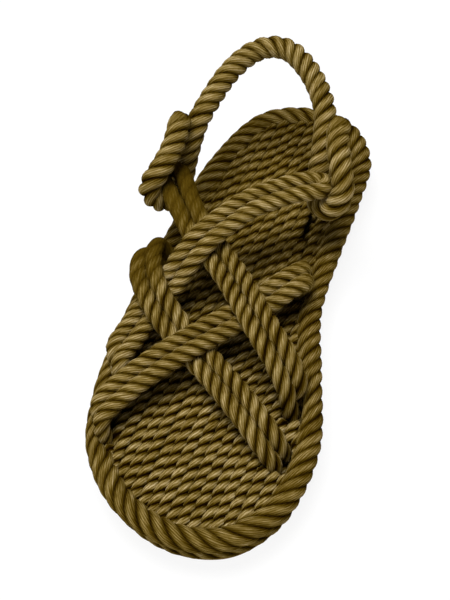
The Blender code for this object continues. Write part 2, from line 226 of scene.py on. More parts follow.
UPPER_RIM_ROPE = rope_kind(8.2, 6.9, 4, 21.0, 0.2175, 1.12, 0.65, 14)
LOWER_RIM_ROPE = rope_kind(6.4, 6.7, 4, 21.0, 0.2175, 1.12, 0.7, 12)
FOOTBED_ROPE = rope_kind(4.4, 3.8, 2, 9.3, 0.275, 1.30, 0.62, 10)
STRAP_ROPE = rope_kind(6.1, 5.4, 3, 13.4, 0.242, 1.16, 0.62, 13)
SLING_ROPE = rope_kind(7.9, 7.9, 3, 12.9, 0.240, 1.04, 0.62, 14)

# Strands: their radius where no twist is left and the radius of their path, as shares of the rope's width,
# how far they sway in radians and over about what length, how their tones differ and waver, the largest start
# of their texture, and the shade in the middle of a cut end
STRAND_SHARE_SMOOTH = 0.47
STRAND_PATH = 0.26
STRAND_SWAY = 0.10
STRAND_SWAY_LENGTH = 47.0
STRAND_TONE = 0.5
STRAND_TONE_WAVE = 0.3
STRAND_TEXTURE_START = 7.0
STRAND_END_GROOVE = 0.5

# The rim's two ropes. Columns: solid, kind of rope, inset of its outer edge, part of a turn at its start
RIMS = (
    ("rim_rope_lower", LOWER_RIM_ROPE, 2.0, 0.1),
    ("rim_rope_upper", UPPER_RIM_ROPE, 0.0, 0.45),
)

# Footbed: how many ropes, how far apart, the middle of the mat, its inset, the spacing of points on its
# outline, and the shortest rope
FOOTBED_COUNT = 20
FOOTBED_SPACING = 3.45
FOOTBED_MIDDLE = 4.0
FOOTBED_INSET = 6.4
FOOTBED_OUTLINE_STEP = 1.0
FOOTBED_SHORTEST = 8.0

# The footbed's twist: its shift from rope to rope in strands, at the toe and at the heel, the stretch in Y
# where the shift changes, how far it strays, and the longer lead at the heel
FOOTBED_SHIFT_TOE = 0.19
FOOTBED_SHIFT_HEEL = 0.62
FOOTBED_SHIFT_CHANGE = (-61.0, 60.0)
FOOTBED_SHIFT_STRAY = 0.12
FOOTBED_HEEL_LEAD = 10.6

# The footbed's wear: the stretch in Y where the twist flattens, and how much of it is left at the heel
FOOTBED_WORN = (-30.0, 30.0)
FOOTBED_HEEL_RELIEF = 0.78

# How far the footbed's ropes sway, over what lengths sideways and upwards, and the largest start in radians
FOOTBED_SWAY = 0.18
FOOTBED_SWAY_LENGTHS = (23.0, 17.0)
FOOTBED_SWAY_START = 6.3

# Slots in the footbed where straps go down, and a gap beside the rim under the medial loop
SLOT_HALF_LENGTH = 5.2
SLOT_INWARD = 2.4
SLOT_OUTWARD = 6.0
SLOT_DEPTH = 6.0
SLOT_EDGE = 1.2
GAP_PLACE = (12.4, 46.5)
GAP_HALF_SIZE = (2.2, 7.0)
GAP_DEPTH = 6.0

# How far a strap's end presses into the rim's rope, and over what length
RIM_PUSH_LENGTH = 6.0
RIM_PUSH_MOST = 2.4

# Outsole: a sheet with rounded edges, a tread of small pads and a sunk panel in a smooth frame
OUTSOLE_INSET = 4.2
OUTSOLE_EDGE_ROUND = 0.7
OUTSOLE_EDGE_STEPS = 5
OUTSOLE_STEP = 1.4
TREAD_DEPTH = 0.35
TREAD_PITCH = 1.3
TREAD_PAD = 1.0
TREAD_PAD_FOOT = 0.82
TREAD_SUNK = 0.1
TREAD_MARGIN = 1.9
PAD_CORNERS = ((-0.5, -0.5), (0.5, -0.5), (0.5, 0.5), (-0.5, 0.5))
PANEL_SIZE = (22.0, 19.0)
PANEL_CORNER = 3.0
PANEL_CORNER_STEPS = 6
PANEL_DEPTH = 0.6
PANEL_CENTRE = (-1.0, 4.0)
PANEL_FRAME = 1.2
SHARP_ANGLE = 40.0

# Points in each stretch of a curve, and how steep a rope may start for up to be its first direction across
CURVE_SAMPLES = 16
STEEPEST_START = 0.8


# Curves and chains of points

def curve_through(rows, closed=False):
    """Dense points on a centripetal Catmull-Rom curve through a table's rows."""
    knots = np.array(rows, dtype=float)
    count = len(knots)
    t = (np.arange(CURVE_SAMPLES) / CURVE_SAMPLES)[:, None]
    stretches = []
    for index in range(count if closed else count - 1):
        start = knots[index]
        end = knots[(index + 1) % count]
        before = knots[index - 1] if closed or index > 0 else start * 2.0 - end
        after = knots[(index + 2) % count] if closed or index + 2 < count else end * 2.0 - start
        step_in = math.sqrt(np.linalg.norm(start - before))
        step = math.sqrt(np.linalg.norm(end - start))
        step_out = math.sqrt(np.linalg.norm(after - end))
        leave = (start - before) / step_in - (end - before) / (step_in + step) + (end - start) / step
        arrive = (end - start) / step - (after - start) / (step + step_out) + (after - end) / step_out
        stretches.append(
            start * (2 * t**3 - 3 * t**2 + 1)
            + leave * step * (t**3 - 2 * t**2 + t)
            + end * (3 * t**2 - 2 * t**3)
            + arrive * step * (t**3 - t**2)
        )
    if not closed:
        stretches.append(knots[-1:])
    return np.vstack(stretches)


def eased_between(values):
    """One value for each dense point of a curve, easing from each row's value to the next."""
    t = np.arange(CURVE_SAMPLES) / CURVE_SAMPLES
    ease = 3 * t**2 - 2 * t**3
    stretches = [start + (end - start) * ease for start, end in zip(values, values[1:])]
    return np.concatenate(stretches + [[values[-1]]])


def distances_along(points):
    """Distance of each point from the first, along the chain."""
    return np.concatenate(([0.0], np.cumsum(np.linalg.norm(np.diff(points, axis=0), axis=1))))


def evenly(points, step, closed=False, extra=None):
    """Points at even distances along a chain, and the extra columns at the same places."""
    walk = np.vstack((points, points[:1])) if closed else points
    distances = distances_along(walk)
    count = max(2, round(distances[-1] / step))
    places = np.linspace(0.0, distances[-1], count if closed else count + 1, endpoint=not closed)
    columns = [np.interp(places, distances, walk[:, axis]) for axis in range(walk.shape[1])]
    extras = [np.interp(places, distances, column) for column in (extra or [])]
    return np.column_stack(columns), extras


def unit(vectors):
    """Vectors scaled to length one."""
    return vectors / np.linalg.norm(vectors, axis=-1, keepdims=True)


def directions(points, closed=False):
    """Direction of travel at each point of a chain."""
    if closed:
        return unit(np.roll(points, -1, axis=0) - np.roll(points, 1, axis=0))
    return unit(np.gradient(points, axis=0))


def outline_at(inset, step):
    """The rim outline moved inward, as evenly spaced points seen from above."""
    even, _ = evenly(curve_through(RIM_OUTLINE, closed=True), step, closed=True)
    along = directions(even, closed=True)
    return even + np.column_stack((along[:, 1], -along[:, 0])) * inset


def heading(degrees):
    """Unit vectors in the floor plane at headings from +X."""
    angle = np.radians(degrees)
    return np.stack((np.cos(angle), np.sin(angle), np.zeros_like(angle)), axis=-1)


def smooth_step(value, low, high):
    """0 below low, 1 above high, and an easy change between them."""
    t = np.clip((value - low) / (high - low), 0.0, 1.0)
    return 3 * t**2 - 2 * t**3


# Where the straps run

def strap_middle(table):
    """Even points on a strap's middle line, with the side direction and the relief at each."""
    dense = curve_through([row[:3] for row in table])
    sides = eased_between([row[3] for row in table])
    reliefs = eased_between([row[4] for row in table])
    middle, (side, relief) = evenly(dense, STRAP_ROPE["step"], extra=[sides, reliefs])
    return middle, heading(side), relief


def strap_ropes(table, opening):
    """The ropes of one strap: two legs, or one rope that turns at a bight.

    Each is its points, its side directions and its reliefs.
    """
    middle, side, relief = strap_middle(table)
    if opening is None:
        return [(middle + side * PAIR_SPACING / 2.0 * hand, side, relief) for hand in (1.0, -1.0)]
    along = distances_along(middle)
    half = (PAIR_SPACING + opening * smooth_step(along, along[-1] - BIGHT_LENGTH, along[-1]))[:, None] / 2.0
    half = np.vstack((half, np.repeat(half[-1:], BIGHT_STEPS - 1, axis=0), half[::-1]))
    ahead = unit(middle[-1] - middle[-2])
    angle = np.pi * np.arange(1, BIGHT_STEPS)[:, None] / BIGHT_STEPS
    turned = side[-1] * np.cos(angle) + ahead * np.sin(angle) * BIGHT_REACH
    outward = np.vstack((side, turned, -side[::-1]))
    line = np.vstack((middle, np.repeat(middle[-1:], BIGHT_STEPS - 1, axis=0), middle[::-1])) + outward * half
    reliefs = np.concatenate((relief, np.full(BIGHT_STEPS - 1, relief[-1]), relief[::-1]))
    line, extras = evenly(line, STRAP_ROPE["step"], extra=[*outward.T, reliefs])
    return [(line, np.column_stack(extras[:3]), extras[3])]


def strap_ends():
    """The rows of the tables where a strap goes down into the sole."""
    rows = []
    for table, opening, _ in STRAPS:
        rows.append(table[0])
        if opening is None:
            rows.append(table[-1])
    return rows


# Meshes of twisted rope

class Skin:
    """The faces of one piece as they are added, with the values that its material reads."""

    def __init__(self):
        self.points = []
        self.faces = []
        self.face_uvs = []
        self.values = {"tone": [], "groove": [], "relief": []}
        self.count = 0

    def add_points(self, points, **values):
        """Add points with one value each, and return the number of the first."""
        first = self.count
        self.points.append(points)
        for name, column in self.values.items():
            column.append(np.broadcast_to(values.get(name, 0.0), len(points)))
        self.count += len(points)
        return first

    def add_faces(self, faces, uvs):
        """Add faces that all have the same number of corners, with a place on the texture for each corner."""
        self.faces.append(faces)
        self.face_uvs.append(uvs)

    def make(self, name, material, shift):
        """The object, in metres in the model's frame."""
        mesh = bpy.data.meshes.new(name)
        points = (np.vstack(self.points) + shift) * MM
        corners = np.concatenate([faces.ravel() for faces in self.faces]).astype(np.int32)
        totals = [np.full(len(faces), faces.shape[1]) for faces in self.faces]
        totals = np.concatenate(totals).astype(np.int32)
        starts = np.concatenate(([0], np.cumsum(totals)[:-1])).astype(np.int32)
        mesh.vertices.add(len(points))
        mesh.vertices.foreach_set("co", points.astype(np.float32).ravel())
        mesh.loops.add(len(corners))
        mesh.loops.foreach_set("vertex_index", corners)
        mesh.polygons.add(len(totals))
        mesh.polygons.foreach_set("loop_start", starts)
        mesh.polygons.foreach_set("loop_total", totals)
        layer = mesh.uv_layers.new(name="strand")
        uvs = np.concatenate([uv.reshape(-1, 2) for uv in self.face_uvs])
        layer.data.foreach_set("uv", uvs.astype(np.float32).ravel())
        for value_name, column in self.values.items():
            attribute = mesh.attributes.new(value_name, "FLOAT", "POINT")
            attribute.data.foreach_set("value", np.concatenate(column).astype(np.float32))
        mesh.update(calc_edges=True)
        mesh.validate()
        mesh.shade_smooth()
        mesh.materials.append(material)
        made = bpy.data.objects.new(name, mesh)
        bpy.context.scene.collection.objects.link(made)
        return made


def rope_frames(line, closed, side):
    """Direction of travel and two directions across it at each point of a rope's middle line."""
    along = directions(line, closed)
    if side is not None:
        second = unit(side - along * (side * along).sum(axis=1)[:, None])
        return along, np.cross(second, along), second
    first = np.zeros_like(line)
    carried = np.array((0.0, 0.0, 1.0)) if abs(along[0][2]) < STEEPEST_START else np.array((1.0, 0.0, 0.0))
    for index, direction in enumerate(along):
        carried = unit(carried - direction * carried.dot(direction))
        first[index] = carried
    return along, first, np.cross(along, first)


def add_tube(skin, rings, lengthwise, closed, tone, groove, relief):
    """Add one strand: rings of points, joined into a skin and capped where it is open."""
    count, sides, _ = rings.shape
    values = {
        "tone": np.repeat(tone, sides),
        "groove": np.tile(groove, count),
        "relief": np.repeat(relief, sides),
    }
    first = skin.add_points(rings.reshape(-1, 3), **values)
    ring = np.arange(count if closed else count - 1)[:, None]
    side = np.arange(sides)[None, :]
    corner_places = ((0, 0), (0, 1), (1, 1), (1, 0))
    faces = []
    uvs = []
    for ahead, round_step in corner_places:
        faces.append(first + (ring + ahead) % count * sides + (side + round_step) % sides)
        uv = np.broadcast_arrays(lengthwise[ring + ahead], (side + round_step) / sides)
        uvs.append(np.stack(uv, axis=-1))
    skin.add_faces(np.stack(faces, axis=-1).reshape(-1, 4), np.stack(uvs, axis=2).reshape(-1, 4, 2))
    if closed:
        return
    for end, order in ((0, (1, 0)), (count - 1, (0, 1))):
        middle = rings[end].mean(axis=0)[None]
        centre = skin.add_points(middle, tone=tone[end], groove=STRAND_END_GROOVE, relief=relief[end])
        around = np.arange(sides)
        fan = [np.full(sides, centre)]
        fan += [first + end * sides + (around + step) % sides for step in order]
        fan_uv = np.full((sides, 3, 2), (lengthwise[end], 0.5))
        skin.add_faces(np.stack(fan, axis=-1), fan_uv)


def level_side(line, closed=False):
    """The level direction across a line at each of its points."""
    return unit(np.cross(directions(line, closed), (0.0, 0.0, 1.0)))


def add_rope(
    skin, line, rope, phase=0.0, start=0.0, closed=False, side=None, relief=1.0, fullness=1.0, wide=1.0
):
    """Add a twisted rope along a line, its width laid along a side direction if one is given.

    Phase, relief, fullness and wide may change along its length.
    """
    count = len(line)
    relief = np.broadcast_to(relief, count)
    full = np.broadcast_to(fullness, count)[:, None]
    wide = np.broadcast_to(wide, count)[:, None]
    distance = distances_along(np.vstack((line, line[:1])) if closed else line)
    walked = distance[:count]
    total = distance[-1]
    lead = total / round(total / rope["lead"]) if closed else rope["lead"]
    height = rope["height"] / rope["width"]
    along, first, second = rope_frames(line, closed, side)
    strands = rope["strands"]
    share = STRAND_SHARE_SMOOTH + (rope["share"] - STRAND_SHARE_SMOOTH) * relief
    radius = rope["width"] * share
    spread = radius * (1.0 + (rope["spread"] - 1.0) * relief)
    offset = rope["width"] / 2.0 - radius
    slope = 2.0 * np.pi * offset / lead
    stretch = np.sqrt(1.0 + slope**2)
    ring_angle = -np.pi + 2.0 * np.pi * np.arange(rope["sides"]) / rope["sides"]
    out = np.cos(ring_angle)[None, :]
    across = np.sin(ring_angle)[None, :]
    groove = 0.5 - 0.5 * np.cos(ring_angle)
    waves = max(1, round(total / STRAND_SWAY_LENGTH))
    strand_round = 2.0 * np.pi * rope["width"] * rope["share"]
    strand_length = math.hypot(1.0, 2.0 * np.pi * STRAND_PATH * rope["width"] / lead)
    lengthwise = (start + distance) * strand_length / strand_round
    for strand in range(strands):
        sway = STRAND_SWAY * np.sin(2.0 * np.pi * (waves * walked / total + rng.random()))
        turn = 2.0 * np.pi * ((start + walked) / lead + strand / strands + phase) + sway
        cos_turn = np.cos(turn)[:, None]
        sin_turn = np.sin(turn)[:, None]
        reach = offset[:, None] + radius[:, None] * out
        tangential = spread[:, None] * across / stretch[:, None]
        x = (reach * cos_turn - tangential * sin_turn) * height * full
        y = (reach * sin_turn + tangential * cos_turn) * wide * full
        z = -spread[:, None] * across * (slope / stretch)[:, None] * full
        rings = line[:, None, :] + first[:, None, :] * x[..., None]
        rings = rings + second[:, None, :] * y[..., None] + along[:, None, :] * z[..., None]
        tone_wave = np.sin(2.0 * np.pi * (waves * 2 * walked / total + rng.random()))
        tone = rng.normal(0.0, STRAND_TONE) + STRAND_TONE_WAVE * tone_wave
        texture_start = rng.random() * STRAND_TEXTURE_START
        add_tube(skin, rings, lengthwise + texture_start, closed, tone, groove, relief)


# Materials

class Nodes:
    """A material's nodes, added one at a time."""

    def __init__(self, name):
        self.material = bpy.data.materials.new(name)
        self.material.use_nodes = True
        self.tree = self.material.node_tree
        self.shader = self.tree.nodes["Principled BSDF"]

    def set_input(self, socket, value):
        """Link a socket, or set its value."""
        if isinstance(value, bpy.types.NodeSocket):
            self.tree.links.new(value, socket)
        else:
            socket.default_value = value

    def add(self, kind, inputs=(), output=0, **settings):
        """A node with its settings and inputs, given by number or name. Returns an output."""
        made = self.tree.nodes.new(kind)
        for key, value in settings.items():
            setattr(made, key, value)
        for key, value in dict(inputs).items():
            self.set_input(made.inputs[key], value)
        return made.outputs[output]

    def math(self, operation, first, second=0.0, third=0.0):
        """A sum, product or other function of numbers."""
        return self.add("ShaderNodeMath", {0: first, 1: second, 2: third}, operation=operation)

    def noise(self, vector, scale, detail=2.0, roughness=0.5):
        """Noise around 0.5 at places given by a vector."""
        inputs = {"Vector": vector, "Scale": scale, "Detail": detail, "Roughness": roughness}
        return self.add("ShaderNodeTexNoise", inputs, output="Fac")

    def vector(self, x, y, z):
        """A vector of three numbers."""
        return self.add("ShaderNodeCombineXYZ", {0: x, 1: y, 2: z})

    def value(self, name):
        """A value that the mesh carries at its points."""
        return self.add("ShaderNodeAttribute", output="Fac", attribute_name=name)

    def weighted(self, start, patterns, weights):
        """A sum of named patterns, each with its weight."""
        total = start
        for name, weight in weights.items():
            total = self.math("MULTIPLY_ADD", patterns[name], weight, total)
        return total

    def ramp(self, factor, stops):
        """A colour for a factor, through stops of position and colour."""
        colour = self.add("ShaderNodeValToRGB", {"Fac": factor})
        elements = colour.node.color_ramp.elements
        for index, (position, rgb) in enumerate(stops):
            element = elements[index] if index < 2 else elements.new(position)
            element.position = position
            element.color = (*rgb, 1.0)
        return colour

    def spread(self, value, low, high):
        """A value from 0 to 1 spread from low to high."""
        return self.add("ShaderNodeMapRange", {"Value": value, "To Min": low, "To Max": high})

    def bump(self, height, distance, strength):
        """A bumped normal."""
        inputs = {"Strength": strength, "Distance": distance * MM, "Height": height}
        return self.add("ShaderNodeBump", inputs, output="Normal")

    def finish(self, **inputs):
        """Set the shader's inputs and return the material."""
        for key, value in inputs.items():
            self.set_input(self.shader.inputs[key.replace("_", " ")], value)
        return self.material


# Rope colours from the painted shade in the grooves to the painted highlights on the crests. Columns:
# position, colour
ROPE_COLOURS = (
    (0.0, (0.010, 0.004, 0.0002)),
    (0.25, (0.034, 0.018, 0.0008)),
    (0.50, (0.080, 0.048, 0.004)),
    (0.75, (0.215, 0.149, 0.040)),
    # The palest colour is a painted highlight on the crests
    (1.0, (0.480, 0.372, 0.190)),
)

# Each rope's looks. Columns: brightness, number of yarns round a strand
ROPE_LOOKS = {
    # The rim's rope is set darker than the others as painted shade
    "rim_rope_olive": (0.235, 17.0),
    "footbed_rope_olive": (0.35, 10.0),
    "strap_rope_olive": (0.31, 13.0),
    "sling_rope_olive": (0.30, 15.0),
}

# Patterns on a strand: how far its yarns slant and waver, and how fine the patterns are
YARN_SLANT = 0.45
YARN_WAVER = 1.1
YARN_WAVER_SCALE = 3.0
YARN_TONE_SCALE = 2.0
FIBRE_SCALE = 5.0
PATCH_SCALE = 90.0

# Grooves between strands: how soon they are at their darkest, and how their shade grows
GROOVE_GAIN = 1.7
GROOVE_POWER = 1.05

# What each pattern adds to the brightness where the twist stands out, and where it is pressed smooth
TWISTED_START = -0.44
TWISTED_WEIGHTS = {
    "yarn": 0.18,
    "fibre": 0.95,
    "yarn_tone": 0.36,
    "patch": 0.28,
    "tone": 0.05,
    # Depth darkens the grooves between strands with painted shade
    "depth": -1.00,
}
SMOOTH_START = 0.02
SMOOTH_WEIGHTS = {"fibre": 0.34, "patch": 0.30}
SMOOTH_BLEND = 0.9

# Bumps and roughness of rope. The depth is in millimetres
ROPE_BUMP_WEIGHTS = {"yarn": 0.55, "fibre": 0.6}
ROPE_BUMP_DEPTH = 0.20
ROPE_BUMP_STRENGTH = 0.85
ROPE_ROUGHNESS = (0.42, 0.70)


def rope_material(name):
    """Olive twisted rope: yarns that lie slantwise on each strand, fine fibres, painted shade in the grooves
    and painted highlights on the crests.
    """
    brightness, yarns = ROPE_LOOKS[name]
    nodes = Nodes(name)
    uv = nodes.add("ShaderNodeUVMap", uv_map="strand")
    u, v, _ = nodes.add("ShaderNodeSeparateXYZ", {0: uv}).node.outputs
    tone = nodes.value("tone")
    groove = nodes.value("groove")
    smooth = nodes.math("SUBTRACT", 1.0, nodes.value("relief"))
    spot = nodes.add("ShaderNodeTexCoord", output="Object")
    slanted = nodes.math("MULTIPLY_ADD", u, YARN_SLANT, v)
    across = nodes.math("MULTIPLY", slanted, yarns)
    waver = nodes.noise(nodes.vector(u, v, tone), YARN_WAVER_SCALE)
    yarn_turn = nodes.math("MULTIPLY_ADD", waver, YARN_WAVER, across)
    yarn_wave = nodes.math("SINE", nodes.math("MULTIPLY", yarn_turn, 2.0 * math.pi))
    fibre_along = nodes.math("MULTIPLY", u, FIBRE_SCALE)
    fibre_across = nodes.math("MULTIPLY", slanted, yarns * FIBRE_SCALE)
    yarn_tone_along = nodes.math("MULTIPLY", u, YARN_TONE_SCALE)
    # Painted shade in the grooves between strands, at its darkest where strands meet
    darkest = nodes.math("MINIMUM", nodes.math("MULTIPLY", groove, GROOVE_GAIN), 1.0)
    patterns = {
        "yarn": nodes.math("MULTIPLY_ADD", yarn_wave, 0.5, 0.5),
        "fibre": nodes.noise(nodes.vector(fibre_along, fibre_across, tone), 1.0, detail=3.0, roughness=0.6),
        "yarn_tone": nodes.noise(nodes.vector(yarn_tone_along, across, tone), 1.0, detail=1.0),
        "patch": nodes.noise(spot, PATCH_SCALE, detail=3.0),
        "tone": tone,
        "depth": nodes.math("POWER", darkest, GROOVE_POWER),
    }
    bright = nodes.weighted(brightness + TWISTED_START, patterns, TWISTED_WEIGHTS)
    plain = nodes.weighted(SMOOTH_START, patterns, SMOOTH_WEIGHTS)
    settled = nodes.math("MULTIPLY", nodes.math("SUBTRACT", plain, bright), smooth)
    height = nodes.weighted(0.0, patterns, ROPE_BUMP_WEIGHTS)
    return nodes.finish(
        Base_Color=nodes.ramp(nodes.math("MULTIPLY_ADD", settled, SMOOTH_BLEND, bright), ROPE_COLOURS),
        Roughness=nodes.spread(patterns["fibre"], *ROPE_ROUGHNESS),
        Specular_IOR_Level=0.0,
        Normal=nodes.bump(height, ROPE_BUMP_DEPTH, ROPE_BUMP_STRENGTH),
    )


# Rubber: its colours from dark to pale, with columns position and colour, and its patches and pebbles
RUBBER_COLOURS = (
    (0.25, (0.092, 0.048, 0.004)),
    (0.5, (0.128, 0.069, 0.007)),
    (0.75, (0.164, 0.094, 0.013)),
)
RUBBER_WEIGHTS = {"patch": 0.65, "pebble": 0.35}
RUBBER_PATCH_SCALE = 120.0
RUBBER_PEBBLE_SCALE = 2600.0
RUBBER_BUMP_DEPTH = 0.06
RUBBER_BUMP_STRENGTH = 0.5
RUBBER_ROUGHNESS = (0.62, 0.86)


def rubber_material(name):
    """Matt ochre rubber, finely pebbled, in slightly uneven tones."""
    nodes = Nodes(name)
    spot = nodes.add("ShaderNodeTexCoord", output="Object")
    patterns = {
        "patch": nodes.noise(spot, RUBBER_PATCH_SCALE, detail=4.0, roughness=0.6),
        "pebble": nodes.noise(spot, RUBBER_PEBBLE_SCALE, detail=2.0),
    }
    mixed = nodes.weighted(0.0, patterns, RUBBER_WEIGHTS)
    return nodes.finish(
        Base_Color=nodes.ramp(mixed, RUBBER_COLOURS),
        Roughness=nodes.spread(patterns["pebble"], *RUBBER_ROUGHNESS),
        Specular_IOR_Level=0.12,
        Normal=nodes.bump(patterns["pebble"], RUBBER_BUMP_DEPTH, RUBBER_BUMP_STRENGTH),
    )


# Floor: its own glow, which keeps shadows pale, and its colours. Columns: position, colour
FLOOR_GLOW = 0.90
FLOOR_COLOURS = (
    (0.3, (0.10, 0.10, 0.10)),
    (0.7, (0.11, 0.11, 0.11)),
)
FLOOR_PATCH_SCALE = 4.0


def floor_material(name):
    """A plain white floor that glows."""
    nodes = Nodes(name)
    spot = nodes.add("ShaderNodeTexCoord", output="Object")
    return nodes.finish(
        Base_Color=nodes.ramp(nodes.noise(spot, FLOOR_PATCH_SCALE), FLOOR_COLOURS),
        Roughness=0.9,
        Specular_IOR_Level=0.1,
        Emission_Color=(1.0, 1.0, 1.0, 1.0),
        Emission_Strength=FLOOR_GLOW,
    )


# The pieces

def box_in_mm(node):
    """A solid's lowest and highest corner in millimetres in the model's frame."""
    low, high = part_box(node)
    return np.array(low) / MM, np.array(high) / MM


def layout_shift():
    """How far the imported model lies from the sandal's own layout."""
    low, high = box_in_mm("rim_rope_upper")
    outline = curve_through(RIM_OUTLINE, closed=True)
    middle = (outline.min(axis=0) + outline.max(axis=0)) / 2.0
    shift = (low + high)[:2] / 2.0 - middle
    return np.array((shift[0], shift[1], 0.0))


def place(piece, node):
    """Let a piece ride on the sandal in the place of a solid."""
    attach(piece, BODY)
    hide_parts(node)


def rim_push(line, rope, foot_points):
    """How much each point of the rim's middle line gives way to the straps' ends."""
    push = np.zeros(len(line))
    reach = (rope["width"] + STRAP_ROPE["width"]) / 2.0
    for foot in foot_points:
        if foot[2] > line[:, 2].max() + rope["height"] / 2.0:
            continue
        away = np.linalg.norm(line[:, :2] - foot[:2], axis=1)
        nearest = away.min()
        along = np.sqrt(np.maximum(away**2 - nearest**2, 0.0))
        most = np.clip(reach - nearest, 0.0, RIM_PUSH_MOST)
        push = np.maximum(push, most * np.exp(-(along / RIM_PUSH_LENGTH) ** 4))
    return push


def strap_feet():
    """Where each single rope of a strap ends in the sole."""
    feet = []
    for row in strap_ends():
        side = heading(row[3])
        feet += [np.array(row[:3]) + side * PAIR_SPACING / 2.0 * hand for hand in (1.0, -1.0)]
    return feet


def make_rim(node, rope, inset, phase, material, shift):
    """One rope of the rim, pressed narrow where a strap goes down beside it."""
    low, high = box_in_mm(node)
    flat = outline_at(inset + rope["width"] / 2.0, rope["step"])
    line = np.column_stack((flat, np.full(len(flat), (low[2] + high[2]) / 2.0)))
    push = rim_push(line, rope, strap_feet())
    line = line - level_side(line, closed=True) * push[:, None] / 2.0
    skin = Skin()
    side = level_side(line, closed=True)
    add_rope(skin, line, rope, phase, closed=True, side=side, wide=1.0 - push / rope["width"])
    place(skin.make(node + "_twisted", material, shift), node)


def footbed_runs(outline, x):
    """Where a lengthwise line at x lies inside an outline: pairs of start and end."""
    ahead = np.roll(outline, -1, axis=0)
    crossing = (outline[:, 0] > x) != (ahead[:, 0] > x)
    part = (x - outline[crossing, 0]) / (ahead[crossing, 0] - outline[crossing, 0])
    places = np.sort(outline[crossing, 1] + part * (ahead[crossing, 1] - outline[crossing, 1]))
    return [run for run in zip(places[0::2], places[1::2]) if run[1] - run[0] > FOOTBED_SHORTEST]


def slot_dip(points):
    """How deep the footbed's ropes dip at each point, under the straps' ends and at a gap beside the rim."""
    dip = np.zeros(len(points))
    for x, y, _, side, _ in strap_ends():
        along = heading(side)[:2]
        outward = np.array((-along[1], along[0]))
        if outward[0] * (x - FOOTBED_MIDDLE) < 0.0:
            outward = -outward
        offset = points[:, :2] - (x, y)
        a = np.abs(offset @ along)
        b = offset @ outward
        inside = 1.0 - smooth_step(a, SLOT_HALF_LENGTH - SLOT_EDGE, SLOT_HALF_LENGTH + SLOT_EDGE)
        inside = inside * smooth_step(b, -SLOT_INWARD - SLOT_EDGE, -SLOT_INWARD + SLOT_EDGE)
        inside = inside * (1.0 - smooth_step(b, SLOT_OUTWARD - SLOT_EDGE, SLOT_OUTWARD + SLOT_EDGE))
        dip = np.maximum(dip, inside * SLOT_DEPTH)
    across, along = np.abs(points[:, :2] - GAP_PLACE).T
    gap = 1.0 - smooth_step(across, GAP_HALF_SIZE[0] - SLOT_EDGE, GAP_HALF_SIZE[0] + SLOT_EDGE)
    gap = gap * (1.0 - smooth_step(along, GAP_HALF_SIZE[1] - SLOT_EDGE, GAP_HALF_SIZE[1] + SLOT_EDGE))
    return np.maximum(dip, gap * GAP_DEPTH)


def footbed_phase(index, y):
    """The twist of a footbed rope along its length, so that neighbours' strands lie in slanting rows.

    The shifts from rope to rope are in strands, so a whole number makes no difference. The lead grows towards
    the heel.
    """
    drift = index * (FOOTBED_SHIFT_HEEL - FOOTBED_SHIFT_TOE)
    drift = (drift + 0.5) % 1.0 - 0.5
    shift = index * FOOTBED_SHIFT_TOE + drift * smooth_step(y, *FOOTBED_SHIFT_CHANGE)
    shift = shift + rng.normal(0.0, FOOTBED_SHIFT_STRAY)
    toe, heel = FOOTBED_SHIFT_CHANGE
    slower = 1.0 / FOOTBED_ROPE["lead"] - 1.0 / FOOTBED_HEEL_LEAD
    unwound = slower * np.maximum(y - toe, 0.0) ** 2 / (2.0 * (heel - toe))
    return -shift / FOOTBED_ROPE["strands"] - unwound


def make_footbed(material, shift):
    """Twisted ropes laid lengthwise side by side, running in under the rim."""
    _, high = box_in_mm("footbed_ropes")
    outline = outline_at(FOOTBED_INSET, FOOTBED_OUTLINE_STEP)
    middle_height = high[2] - FOOTBED_ROPE["height"] / 2.0
    sideways, upward = FOOTBED_SWAY_LENGTHS
    skin = Skin()
    for index in range(FOOTBED_COUNT):
        x = FOOTBED_MIDDLE + (index - (FOOTBED_COUNT - 1) / 2.0) * FOOTBED_SPACING
        for low_y, high_y in footbed_runs(outline, x):
            y = np.linspace(low_y, high_y, round((high_y - low_y) / FOOTBED_ROPE["step"]) + 1)
            sway = FOOTBED_SWAY * np.sin(y / sideways + rng.random() * FOOTBED_SWAY_START)
            line = np.column_stack((x + sway, y, np.full(len(y), middle_height)))
            line[:, 2] -= slot_dip(line)
            rise = FOOTBED_SWAY * np.sin(y / upward + rng.random() * FOOTBED_SWAY_START)
            line[:, 2] += rise - FOOTBED_SWAY
            phase = footbed_phase(index, y)
            relief = 1.0 - (1.0 - FOOTBED_HEEL_RELIEF) * smooth_step(y, *FOOTBED_WORN)
            add_rope(skin, line, FOOTBED_ROPE, phase, start=low_y, side=level_side(line), relief=relief)
    place(skin.make("footbed_twisted", material, shift), "footbed_ropes")


def make_straps(material, shift):
    """The four doubled straps of the upper."""
    skin = Skin()
    for table, opening, lead in STRAPS:
        for line, side, relief in strap_ropes(table, opening):
            add_rope(skin, line, {**STRAP_ROPE, "lead": lead}, rng.random(), side=side, relief=relief)
    place(skin.make("upper_straps_twisted", material, shift), "upper_straps")


def make_sling(material, shift):
    """The thicker rope behind the heel, with rounded ends that are melted smooth."""
    line, _ = evenly(curve_through(SLING), SLING_ROPE["step"])
    along = directions(line)
    share = np.arange(1, SLING_END_STEPS + 1)[:, None] / SLING_END_STEPS
    before = line[0] - along[0] * SLING_END_ROUND * share[::-1]
    after = line[-1] + along[-1] * SLING_END_ROUND * share
    line = np.vstack((before, line, after))
    distance = distances_along(line)
    to_end = np.minimum(distance, distance[-1] - distance)
    beyond = np.clip(1.0 - to_end / SLING_END_ROUND, 0.0, 1.0)
    fullness = np.sqrt(1.0 - (SLING_END_CLOSE * beyond) ** 2)
    relief = SLING_END_RELIEF + (1.0 - SLING_END_RELIEF) * smooth_step(to_end, 0.0, SLING_END_FADE)
    skin = Skin()
    add_rope(skin, line, SLING_ROPE, rng.random(), relief=relief, fullness=fullness)
    place(skin.make("heel_sling_twisted", material, shift), "heel_sling")


